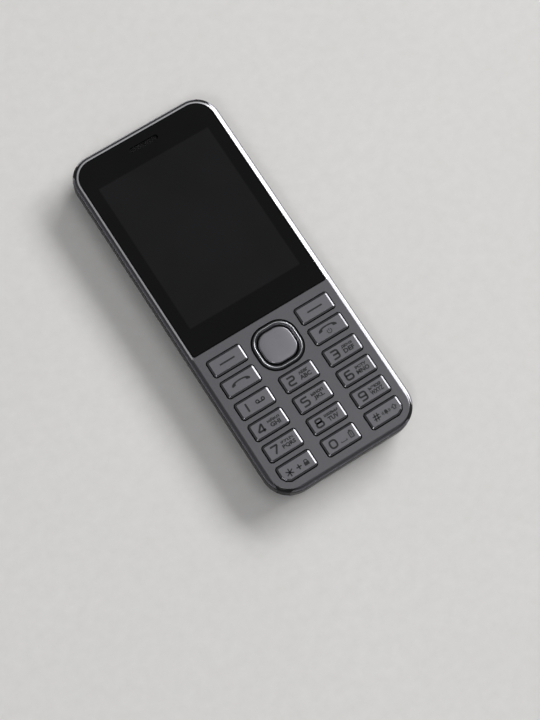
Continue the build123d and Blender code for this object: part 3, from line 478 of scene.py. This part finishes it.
def lens_material():
    """Coated lens seen through dark glass: a black barrel with thin rings and a purple bloom."""
    s = Shade("lens_glass", Coat_Weight=1.0, Coat_Roughness=0.02)
    half_pitch = 0.16
    away = s.distance(CAMERA_LENS)
    rings = s.step(s.maths("PINGPONG", away, half_pitch), 0.0, 0.05, 0.5, 0.0)
    barrel = s.mix(rings, (0.008, 0.008, 0.010, 1), (0.05, 0.05, 0.056, 1))
    bloom = s.fall(away, 0.2, 1.1)
    s.colour(s.mix(bloom, barrel, (0.03, 0.012, 0.06, 1)))
    s.rough(s.step(away, 0.9, 1.2, 0.04, 0.2))
    return s.material


def torch_material():
    """Ribbed light lens: clear plastic over a yellow phosphor."""
    s = Shade("lens_clear", Coat_Weight=1.0, Coat_Roughness=0.05)
    half_pitch = 0.14
    away = s.distance(TORCH)
    ridge = s.maths("PINGPONG", away, half_pitch)
    chip = s.fall(away, 0.35, 0.9)
    ribs = s.step(ridge, 0.0, half_pitch)
    clear = s.mix(ribs, (0.62, 0.64, 0.62, 1), (0.85, 0.86, 0.84, 1))
    s.colour(s.mix(chip, clear, (0.80, 0.72, 0.22, 1)))
    s.rough(s.step(ridge, 0.0, half_pitch, 0.1, 0.2))
    s.bump(ridge, 0.12, 0.8)
    return s.material


def led_material():
    """Pale ceramic body with a yellow chip in the middle."""
    s = Shade("led_ceramic")
    grain = s.noise(1.8, 4.0)
    chip = s.fall(s.distance(TORCH), 1.0, 1.2)
    body = s.mottle(grain, (0.74, 0.73, 0.66, 1), (0.84, 0.83, 0.78, 1))
    s.colour(s.mix(chip, body, (0.85, 0.72, 0.16, 1)))
    s.rough(s.spread(grain, 0.45, 0.6))
    s.bump(grain, 0.02)
    return s.material


def gloss_black():
    """Gloss black plastic with a faint haze of wear."""
    s = Shade("bezel_gloss", Coat_Weight=0.8, Coat_Roughness=0.05)
    haze = s.noise(1.2, 6.0, 0.7)
    s.colour(s.mottle(haze, (0.014, 0.014, 0.016, 1), (0.022, 0.022, 0.025, 1)))
    s.rough(s.spread(haze, 0.08, 0.18))
    return s.material


def silicone_material():
    """Milky silicone rubber."""
    s = Shade("silicone", Subsurface_Weight=0.15, Subsurface_Scale=0.001)
    cloud = s.noise(0.4, 4.0)
    s.colour(s.mottle(cloud, (0.68, 0.69, 0.71, 1), (0.78, 0.79, 0.81, 1)))
    s.rough(s.spread(cloud, 0.42, 0.58))
    s.bump(s.noise(3.0, 3.0), 0.01, 0.5)
    return s.material


def ink_material():
    """Black pad-printed ink, slightly uneven."""
    s = Shade("legend_ink", Specular_IOR_Level=0.3)
    film = s.noise(6.0, 4.0, 0.7)
    s.colour(s.mottle(film, (0.008, 0.008, 0.009, 1), (0.016, 0.016, 0.018, 1)))
    s.rough(s.spread(film, 0.42, 0.58))
    s.bump(film, 0.003, 0.4)
    return s.material


def floor_material():
    """Pale matt paper with fine fibres and broad, faint clouds."""
    s = Shade("floor_paper", Specular_IOR_Level=0.0)
    fibre = s.noise(0.25, 6.0, 0.6)
    cloud = s.noise(0.012, 2.0)
    base = s.mottle(fibre, (0.70, 0.69, 0.67, 1), (0.74, 0.73, 0.715, 1))
    s.colour(s.mottle(cloud, base, (0.66, 0.65, 0.63, 1), 0.25))
    s.rough(s.spread(fibre, 0.72, 0.86))
    s.bump(fibre, 0.04, 0.3)
    return s.material


# Brightness of face and edges, the level above which edges are polished, and the levels below which
# walls and all else are painted black as shade
KEY_PAINT = {"face_grey": 0.152, "edge_grey": 0.125,
             "edges_above": 11.7, "painted_shade_walls_below": 11.9, "painted_shade_below": 11.87}
CENTRE_KEY_PAINT = {"face_grey": 0.200, "edge_grey": 0.18,
                    "edges_above": 11.6, "painted_shade_walls_below": 11.55, "painted_shade_below": 11.5}

# Bright colour, dark colour and roughness
SHEET_METALS = {
    "film_plate": ((0.56, 0.57, 0.59, 1), (0.40, 0.41, 0.43, 1), 0.3),
    "screw_steel": ((0.16, 0.16, 0.17, 1), (0.08, 0.08, 0.085, 1), 0.35),
    "contact_gold": ((0.83, 0.60, 0.26, 1), (0.62, 0.43, 0.18, 1), 0.24),
    "stamped_steel": ((0.60, 0.61, 0.63, 1), (0.44, 0.45, 0.47, 1), 0.3),
}
materials = {
    "silver_housing": housing_paint(),
    "key_silver": key_paint("key_silver", **KEY_PAINT),
    "cover_plastic": cover_paint(),
    "window_black": window_material(),
    "mesh_metal": mesh_material(),
    "component_black": moulded("component_black", 0.022, 0.55),
    "panel_dark": panel_material(),
    "foam": moulded("foam", 0.03, 0.9, grain=3.0, depth=0.08),
    "silicone": silicone_material(),
    "film": film_material(),
    "board_green": board_material(),
    "frame_plastic": moulded("frame_plastic", 0.042, 0.5),
    "led_ceramic": led_material(),
    "bezel_gloss": gloss_black(),
    "lens_glass": lens_material(),
    "lens_clear": torch_material(),
    "ring_chrome": chrome_material(),
    "battery_wrap": wrap_material(),
}
for slot, finish in SHEET_METALS.items():
    materials[slot] = stamped_metal(slot, *finish)
ink = ink_material()
crown_paint = key_paint("centre_key_silver", **CENTRE_KEY_PAINT)

for part in frame["record"]["subparts"]:
    mesh = nodes[part["node"]].data
    mesh.materials.clear()
    mesh.materials.append(materials[part["material_slot"]])


# Pieces

def placed(name, data):
    """A new object in the scene."""
    item = bpy.data.objects.new(name, data)
    bpy.context.scene.collection.objects.link(item)
    return item


def mesh_piece(name, points, faces, material, smooth=True):
    """A new object from points in millimetres."""
    mesh = bpy.data.meshes.new(name)
    mesh.from_pydata([tuple(c * MM for c in p) for p in points], [], faces)
    mesh.materials.append(material)
    mesh.validate()
    if smooth:
        mesh.shade_smooth()
    return placed(name, mesh)


def middle(low, high):
    """The middle of a node's box in X and Y, in millimetres."""
    return ((low.x + high.x) / 2 / MM, (low.y + high.y) / 2 / MM)


def swept_loop(centre, width, height, corner, profile, per_corner, crown=None):
    """A profile of (inset, level) swept round a rounded rectangle. A crown closes the inner end."""
    points, faces = [], []
    around = 4 * (per_corner + 1)
    for inset, level in profile:
        for quarter, (right, up) in enumerate(((1, 1), (-1, 1), (-1, -1), (1, -1))):
            for i in range(per_corner + 1):
                angle = radians(90 * quarter + 90 * i / per_corner)
                reach = corner - inset
                x = centre[0] + right * (width / 2 - corner) + reach * cos(angle)
                y = centre[1] + up * (height / 2 - corner) + reach * sin(angle)
                points.append((x, y, level))
    loops = len(profile)
    for k in range(loops if crown is None else loops - 1):
        here = k * around
        following = (k + 1) % loops * around
        for i in range(around):
            j = (i + 1) % around
            faces.append((here + i, here + j, following + j, following + i))
    if crown is not None:
        points.append((centre[0], centre[1], crown))
        here = (loops - 1) * around
        faces += [(here + i, here + (i + 1) % around, len(points) - 1) for i in range(around)]
        faces.append(tuple(reversed(range(around))))
    return points, faces


# Profiles: how far inside the outline, and how far under the top
RING_BEAD = ((0.0, 1.15), (0.25, 0.72), (0.48, 0.33), (0.62, 0.14), (0.74, 0.035), (0.86, 0.0),
             (0.98, 0.03), (1.10, 0.13), (1.28, 0.36), (1.55, 0.72), (1.84, 1.1))
KEY_CROWN = ((0.0, 0.62), (0.03, 0.46), (0.12, 0.34), (0.28, 0.26), (0.55, 0.20), (1.0, 0.145),
             (1.7, 0.09), (2.5, 0.045), (3.3, 0.018), (3.95, 0.006))
LENS_BEAD = ((0.0, 0.01), (0.06, 0.07), (0.22, 0.09), (0.38, 0.05), (0.42, 0.01))

# The flange under the ring's bead: how far inside the outline, and its level
RING_FLANGE = ((1.84, 9.68), (1.16, 9.68), (1.16, 9.26), (-0.58, 9.26), (-0.58, 9.64), (0.0, 9.66))


def navigation_ring():
    """The bright frame: a rounded bead on the CAD ring's flange."""
    low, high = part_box("nav_ring")
    centre = middle(low, high)
    flange = 0.6
    corner = 6.3
    width = (high.x - low.x) / MM - 2 * flange
    height = (high.y - low.y) / MM - 2 * flange
    top = high.z / MM
    profile = [(inset, top - drop) for inset, drop in RING_BEAD] + list(RING_FLANGE)
    points, faces = swept_loop(centre, width, height, corner, profile, 14)
    ring = mesh_piece("navigation_ring", points, faces, materials["ring_chrome"])
    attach(ring, "ring")
    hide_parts("nav_ring")
    return centre


def centre_key(centre):
    """The smooth crowned key inside the ring."""
    low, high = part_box("nav_ok")
    flange = 0.55
    flange_thickness = 0.35
    corner = 4.5
    width = (high.x - low.x) / MM - 2 * flange
    height = (high.y - low.y) / MM - 2 * flange
    top = high.z / MM
    foot = low.z / MM
    flange_top = foot + flange_thickness
    profile = [(-flange, foot), (-flange, flange_top), (0.0, flange_top + 0.01)]
    profile += [(inset, top - drop) for inset, drop in KEY_CROWN]
    points, faces = swept_loop(centre, width, height, corner, profile, 12, top)
    key = mesh_piece("centre_key", points, faces, crown_paint)
    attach(key, "ok")
    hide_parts("nav_ok")


def lens_ring():
    """Thin bright ring round the camera's lens, on the glass."""
    low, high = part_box("camera_glass")
    diameter = 3.6
    profile = [(inset, low.z / MM - drop) for inset, drop in LENS_BEAD]
    points, faces = swept_loop(middle(low, high), diameter, diameter, diameter / 2, profile, 10)
    ring = mesh_piece("lens_ring", points, faces, materials["ring_chrome"])
    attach(ring, "phone")


# Printed legends

PRINT_GAP = 0.012
PRINT_THICKNESS = 0.01

# Numerals: strokes in a unit square, which is then set to this size, left of the key's middle
DIGIT_X = -2.9
DIGIT_Y = -0.05
DIGIT_WIDTH = 2.4
DIGIT_HEIGHT = 2.8
STROKE = 0.63
WIDE_BEND = 0.72
TIGHT_BEND = 0.32
DIGITS = {
    "2": [[(0, 1), (1, 1), (1, 0.52), (0, 0.52), (0, 0), (1, 0)]],
    "3": [[(0, 1), (1, 1), (1, 0), (0, 0)], [(0.15, 0.52), (1, 0.52)]],
    "4": [[(0.78, 0), (0.78, 1), (0.68, 1), (0, 0.32), (0, 0.22), (1.05, 0.22)]],
    "5": [[(1, 1), (0, 1), (0, 0.56), (1, 0.56), (1, 0), (0, 0)]],
    "6": [[(0.95, 1), (0, 1), (0, 0), (1, 0), (1, 0.56), (0, 0.56)]],
    "7": [[(0, 1), (1, 1), (1, 0.9), (0.35, 0)]],
    "9": [[(0.05, 0), (1, 0), (1, 1), (0, 1), (0, 0.46), (1, 0.46)]],
}
EIGHT_TOP = [(0.06, 0.54), (0.94, 0.54), (0.94, 1), (0.06, 1)]
EIGHT_FOOT = [(0, 0), (1, 0), (1, 0.54), (0, 0.54)]
EIGHT_BEND = 0.7

# Rows of letters right of the key's middle: each row's place in Y, its height and boldness
LETTERS_X = 2.15
FIRST_ROW = {"y": -0.66, "height": 1.6, "bold": 0.04}
SECOND_ROW = {"y": 0.96, "height": 1.1, "bold": 0.06}

# Each key's two rows, with the width of each
LETTERS = {
    "2": ("ABC", 4.3, "АБВГ", 3.7),
    "3": ("DEF", 4.1, "ДЕЖЗ", 4.2),
    "4": ("GHI", 3.8, "ИЙКЛ", 4.6),
    "5": ("JKL", 4.0, "МНОП", 4.7),
    "6": ("MNO", 4.8, "РСТУ", 4.2),
    "7": ("PQRS", 4.9, "ФХЦЧ", 4.7),
    "8": ("TUV", 4.0, "ШЩЪЫ", 5.2),
    "9": ("WXYZ", 4.9, "ЬЭЮЯ", 4.7),
}

# Half of a lying handset: an arched grip with a flared end
HANDSET = [(0.0, 0.78), (0.9, 0.76), (1.7, 0.67), (2.4, 0.50), (3.0, 0.20), (3.35, -0.12),
           (3.5, -0.45), (3.45, -0.68), (3.25, -0.78), (2.9, -0.74), (2.2, -0.60), (2.02, -0.45),
           (2.0, -0.15), (1.85, 0.05), (1.4, 0.18), (0.7, 0.25), (0.0, 0.27)]
BELL = [(-0.25, -0.55), (0.0, -0.35), (0.08, 0.40), (0.36, 0.78), (0.84, 0.78), (1.12, 0.40),
        (1.2, -0.35), (1.45, -0.55)]
ARROW = [(3.75, 0.95), (4.6, 0.1), (4.15, 0.1), (4.15, -0.7), (3.35, -0.7), (3.35, 0.1), (2.9, 0.1)]


def rectangle(left, foot, right, top):
    return [(left, foot), (right, foot), (right, top), (left, top)]


def rounded(points, radius, closed):
    """The same line with its corners turned into short arcs."""
    steps = 4
    count = len(points)
    result = []
    for i, here in enumerate(points):
        if not closed and i in (0, count - 1):
            result.append(here)
            continue
        before = Vector(points[i - 1]) - Vector(here)
        after = Vector(points[(i + 1) % count]) - Vector(here)
        reach = min(radius, before.length * 0.49, after.length * 0.49)
        start = Vector(here) + before.normalized() * reach
        end = Vector(here) + after.normalized() * reach
        for k in range(steps + 1):
            t = k / steps
            p = start * (1 - t) ** 2 + Vector(here) * 2 * t * (1 - t) + end * t ** 2
            result.append((p.x, p.y))
    return result


class Prints:
    """Flat printed marks on one key, in millimetres from its middle, gathered into one mesh."""

    def __init__(self, node):
        low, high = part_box(node)
        self.node = node
        self.x, self.y = middle(low, high)
        self.level = high.z / MM + PRINT_GAP
        self.points, self.faces = [], []

    def point(self, x, y):
        self.points.append((self.x + x, self.y + y, self.level))

    def fill(self, outline):
        """A filled patch from its outline."""
        first = len(self.points)
        for x, y in outline:
            self.point(x, y)
        self.faces.append(tuple(range(first, len(self.points))))

    def stroke(self, line, width, closed=False, bend=0.0):
        """A line of even width, its corners rounded where it has a bend."""
        if bend:
            line = rounded(line, bend, closed)
        longest_mitre = 2
        count = len(line)
        first = len(self.points)
        for i, here in enumerate(line):
            ways = []
            if closed or i > 0:
                ways.append((Vector(here) - Vector(line[i - 1])).normalized())
            if closed or i < count - 1:
                ways.append((Vector(line[(i + 1) % count]) - Vector(here)).normalized())
            way = sum(ways, Vector((0, 0))).normalized()
            side = Vector((-way.y, way.x))
            lean = abs(side.dot(Vector((-ways[0].y, ways[0].x))))
            mitre = 1 / max(1 / longest_mitre, lean)
            for sign in (1, -1):
                p = Vector(here) + side * sign * width / 2 * mitre
                self.point(p.x, p.y)
        for i in range(count if closed else count - 1):
            here = first + 2 * i
            following = first + 2 * ((i + 1) % count)
            self.faces.append((here, here + 1, following + 1, following))

    def circle(self, x, y, radius, width, start=0, end=360):
        """A ring, or an arc from start to end in degrees."""
        steps = 20
        whole = end - start >= 360
        line = []
        for i in range(steps if whole else steps + 1):
            angle = radians(start + (end - start) * i / steps)
            line.append((x + radius * cos(angle), y + radius * sin(angle)))
        self.stroke(line, width, whole)

    def text(self, body, x, y, width, height, bold):
        """Letters fitted to a width and a height about a place."""
        curve = bpy.data.curves.new("letters", "FONT")
        curve.body = body
        curve.size = 1.0
        curve.resolution_u = 2
        curve.offset = bold
        holder = placed("letters", curve)
        bpy.context.view_layer.update()
        mesh = bpy.data.meshes.new_from_object(holder)
        bpy.data.objects.remove(holder)
        xs = [v.co.x for v in mesh.vertices]
        ys = [v.co.y for v in mesh.vertices]
        grow_x = width / (max(xs) - min(xs))
        grow_y = height / (max(ys) - min(ys))
        middle_x = (max(xs) + min(xs)) / 2
        middle_y = (max(ys) + min(ys)) / 2
        first = len(self.points)
        for v in mesh.vertices:
            self.point(x + (v.co.x - middle_x) * grow_x, y + (v.co.y - middle_y) * grow_y)
        self.faces += [tuple(first + i for i in p.vertices) for p in mesh.polygons]
        bpy.data.meshes.remove(mesh)

    def finish(self):
        """The gathered marks as one thin piece that rides on its key."""
        piece = mesh_piece(self.node + "_print", self.points, self.faces, ink, False)
        shape = bmesh.new()
        shape.from_mesh(piece.data)
        for face in shape.faces:
            if face.normal.z < 0:
                face.normal_flip()
        sides = bmesh.ops.extrude_face_region(shape, geom=shape.faces[:], use_keep_orig=True)
        lifted = [g for g in sides["geom"] if isinstance(g, bmesh.types.BMVert)]
        bmesh.ops.translate(shape, verts=lifted, vec=(0, 0, PRINT_THICKNESS * MM))
        bmesh.ops.recalc_face_normals(shape, faces=shape.faces[:])
        shape.to_mesh(piece.data)
        shape.free()
        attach(piece, self.node)


def digit(marks, name):
    """A squarish wide numeral made of rounded strokes."""
    def sized(line):
        left = DIGIT_X - DIGIT_WIDTH / 2
        return [(left + x * DIGIT_WIDTH, DIGIT_Y + (y - 0.5) * DIGIT_HEIGHT) for x, y in line]
    if name == "8":
        for loop in (EIGHT_TOP, EIGHT_FOOT):
            marks.stroke(sized(loop), STROKE, closed=True, bend=EIGHT_BEND)
        return
    for line in DIGITS[name]:
        marks.stroke(sized(line), STROKE, bend=TIGHT_BEND if name in "47" else WIDE_BEND)


def number_key(name):
    marks = Prints("key_" + name)
    digit(marks, name)
    first, first_width, second, second_width = LETTERS[name]
    marks.text(first, LETTERS_X, width=first_width, **FIRST_ROW)
    marks.text(second, LETTERS_X, width=second_width, **SECOND_ROW)
    marks.finish()


def one_key():
    """A bar, and the two joined reels of a mailbox sign."""
    marks = Prints("key_1")
    marks.stroke([(-3.0, 1.5), (-3.0, -1.55)], STROKE)
    left, right = 0.95, 3.05
    level = 0.05
    radius = 0.53
    for x in (left, right):
        marks.circle(x, level, radius, width=0.4)
    marks.stroke([(left, level - radius), (right, level - radius)], width=0.4)
    marks.finish()


def zero_key():
    """A nought, a space sign and a battery."""
    marks = Prints("key_0")
    marks.stroke(rectangle(-4.1, -1.35, -1.75, 1.25), STROKE, closed=True, bend=1.0)
    marks.stroke([(-0.35, -0.72), (-0.35, -1.15), (1.75, -1.15), (1.75, -0.72)], width=0.26)
    marks.stroke(rectangle(3.2, -1.25, 4.55, 0.75), width=0.36, closed=True, bend=0.2)
    marks.fill(rectangle(3.5, 0.95, 4.25, 1.35))
    marks.stroke([(3.88, 0.35), (3.88, -0.75)], width=0.3)
    marks.finish()


def star_key():
    """A star, a plus and a padlock."""
    marks = Prints("key_star")
    level = -0.45
    star_x = -2.95
    arm = 1.45
    for turn in (0, 60, 120):
        x = arm * cos(radians(90 + turn))
        y = arm * sin(radians(90 + turn))
        marks.stroke([(star_x - x, level - y), (star_x + x, level + y)], width=0.42)
    plus_x = 0.6
    arm = 0.95
    marks.stroke([(plus_x - arm, level), (plus_x + arm, level)], width=0.42)
    marks.stroke([(plus_x, level + arm), (plus_x, level - arm)], width=0.42)
    marks.fill(rectangle(2.5, -1.35, 4.3, -0.2))
    marks.stroke([(2.85, -0.25), (2.85, 0.55), (3.95, 0.55), (3.95, -0.25)], width=0.3, bend=0.5)
    marks.finish()


def hash_key():
    """A hash, a ringing bell and an upward arrow."""
    marks = Prints("key_hash")
    for shift in (-0.48, 0.48):
        marks.stroke([(-3.3 + shift, -1.35), (-2.9 + shift, 1.35)], width=0.38)
        marks.stroke([(-4.35, shift - 0.02), (-1.8, shift - 0.02)], width=0.38)
    marks.fill(BELL)
    marks.fill(rectangle(0.35, -0.92, 0.85, -0.68))
    bell_x = 0.6
    for side in (-1, 1):
        for away, top, foot in ((1.12, 0.6, -0.7), (1.5, 0.35, -0.45)):
            x = bell_x + side * away
            marks.stroke([(x, top), (x, foot)], width=0.22)
    marks.stroke(ARROW, width=0.28, closed=True)
    marks.finish()


def handset(marks, y):
    """A lying handset from its half outline and the mirrored other half."""
    left = [(-x, v) for x, v in reversed(HANDSET[1:-1])]
    marks.fill([(x, v + y) for x, v in HANDSET + left])


def call_key():
    marks = Prints("key_call")
    handset(marks, 0.25)
    marks.finish()


def end_key():
    """A handset over a power sign."""
    marks = Prints("key_end")
    handset(marks, 0.75)
    marks.circle(0.0, -0.75, 0.78, width=0.26, start=125, end=415)
    marks.stroke([(0.0, -0.75), (0.0, 0.1)], width=0.26)
    marks.finish()


def soft_key(node):
    """A plain dash."""
    marks = Prints(node)
    marks.stroke([(-2.85, -0.05), (2.85, -0.05)], width=0.56)
    marks.finish()


# Floor, lamps, room and camera

FLOOR_REACH = 900
FLOOR_LEVEL = -0.05
LAMP_TARGET = (0.0, 0.0, 0.01)

# Heights in the sky, from the horizon to overhead, and the room's colour there
ROOM_COLOURS = ((0.0, (0.07, 0.07, 0.075, 1)),
                (0.35, (0.11, 0.111, 0.116, 1)),
                (0.9, (0.24, 0.242, 0.25, 1)))
CAMERA_PLACE = (-0.13567, -0.15897, 0.64227)
CAMERA_TURN = (16.174, -3.395, -32.795)


def floor():
    outline = rectangle(-FLOOR_REACH, -FLOOR_REACH, FLOOR_REACH, FLOOR_REACH)
    points = [(x, y, FLOOR_LEVEL) for x, y in outline]
    piece = mesh_piece("floor", points, [(0, 1, 2, 3)], floor_material(), False)


def lamp(name, azimuth, elevation, away, width, height, power):
    """A soft area lamp that looks at the object from a bearing counted from +X towards +Y."""
    light = bpy.data.lights.new(name, "AREA")
    light.shape = "RECTANGLE"
    light.size = width
    light.size_y = height
    light.energy = power
    holder = placed(name, light)
    a = radians(azimuth)
    e = radians(elevation)
    way = Vector((cos(e) * cos(a), cos(e) * sin(a), sin(e)))
    holder.location = Vector(LAMP_TARGET) + way * away
    holder.rotation_euler = way.to_track_quat("Z", "Y").to_euler()


def surroundings():
    """A plain grey room, paler overhead and darker round the horizon."""
    world = bpy.data.worlds.new("room")
    bpy.context.scene.world = world
    world.use_nodes = True
    tree = world.node_tree
    tree.nodes.clear()
    output = tree.nodes.new("ShaderNodeOutputWorld")
    back = tree.nodes.new("ShaderNodeBackground")
    ramp = tree.nodes.new("ShaderNodeValToRGB")
    split = tree.nodes.new("ShaderNodeSeparateXYZ")
    place = tree.nodes.new("ShaderNodeTexCoord")
    tree.links.new(place.outputs["Generated"], split.inputs[0])
    tree.links.new(split.outputs[2], ramp.inputs[0])
    tree.links.new(ramp.outputs[0], back.inputs[0])
    tree.links.new(back.outputs[0], output.inputs[0])
    stops = ramp.color_ramp.elements
    stops.remove(stops[1])
    stops[0].position, stops[0].color = ROOM_COLOURS[0]
    for height, colour in ROOM_COLOURS[1:]:
        stop = stops.new(height)
        stop.color = colour


def camera():
    """The photograph's viewpoint, from the fit to the key rows and the window's corners."""
    lens = bpy.data.cameras.new("camera")
    lens.lens = 100
    lens.sensor_width = 36
    lens.clip_start = 0.01
    holder = placed("camera", lens)
    holder.location = CAMERA_PLACE
    holder.rotation_euler = Euler([radians(angle) for angle in CAMERA_TURN], "XYZ")
    bpy.context.scene.camera = holder


nav_centre = navigation_ring()
centre_key(nav_centre)
lens_ring()
for name in LETTERS:
    number_key(name)
one_key()
zero_key()
star_key()
hash_key()
call_key()
end_key()
soft_key("key_soft_left")
soft_key("key_soft_right")
floor()
lamp("key_light", azimuth=15, elevation=33, away=3.0, width=2.4, height=0.94, power=88.0)
lamp("fill_light", azimuth=320, elevation=75, away=2.2, width=1.1, height=1.1, power=7.0)
lamp("corner_light", azimuth=222, elevation=57, away=1.8, width=0.34, height=0.34, power=4.4)
surroundings()
camera()

view = bpy.context.scene.view_settings
view.view_transform = "Standard"
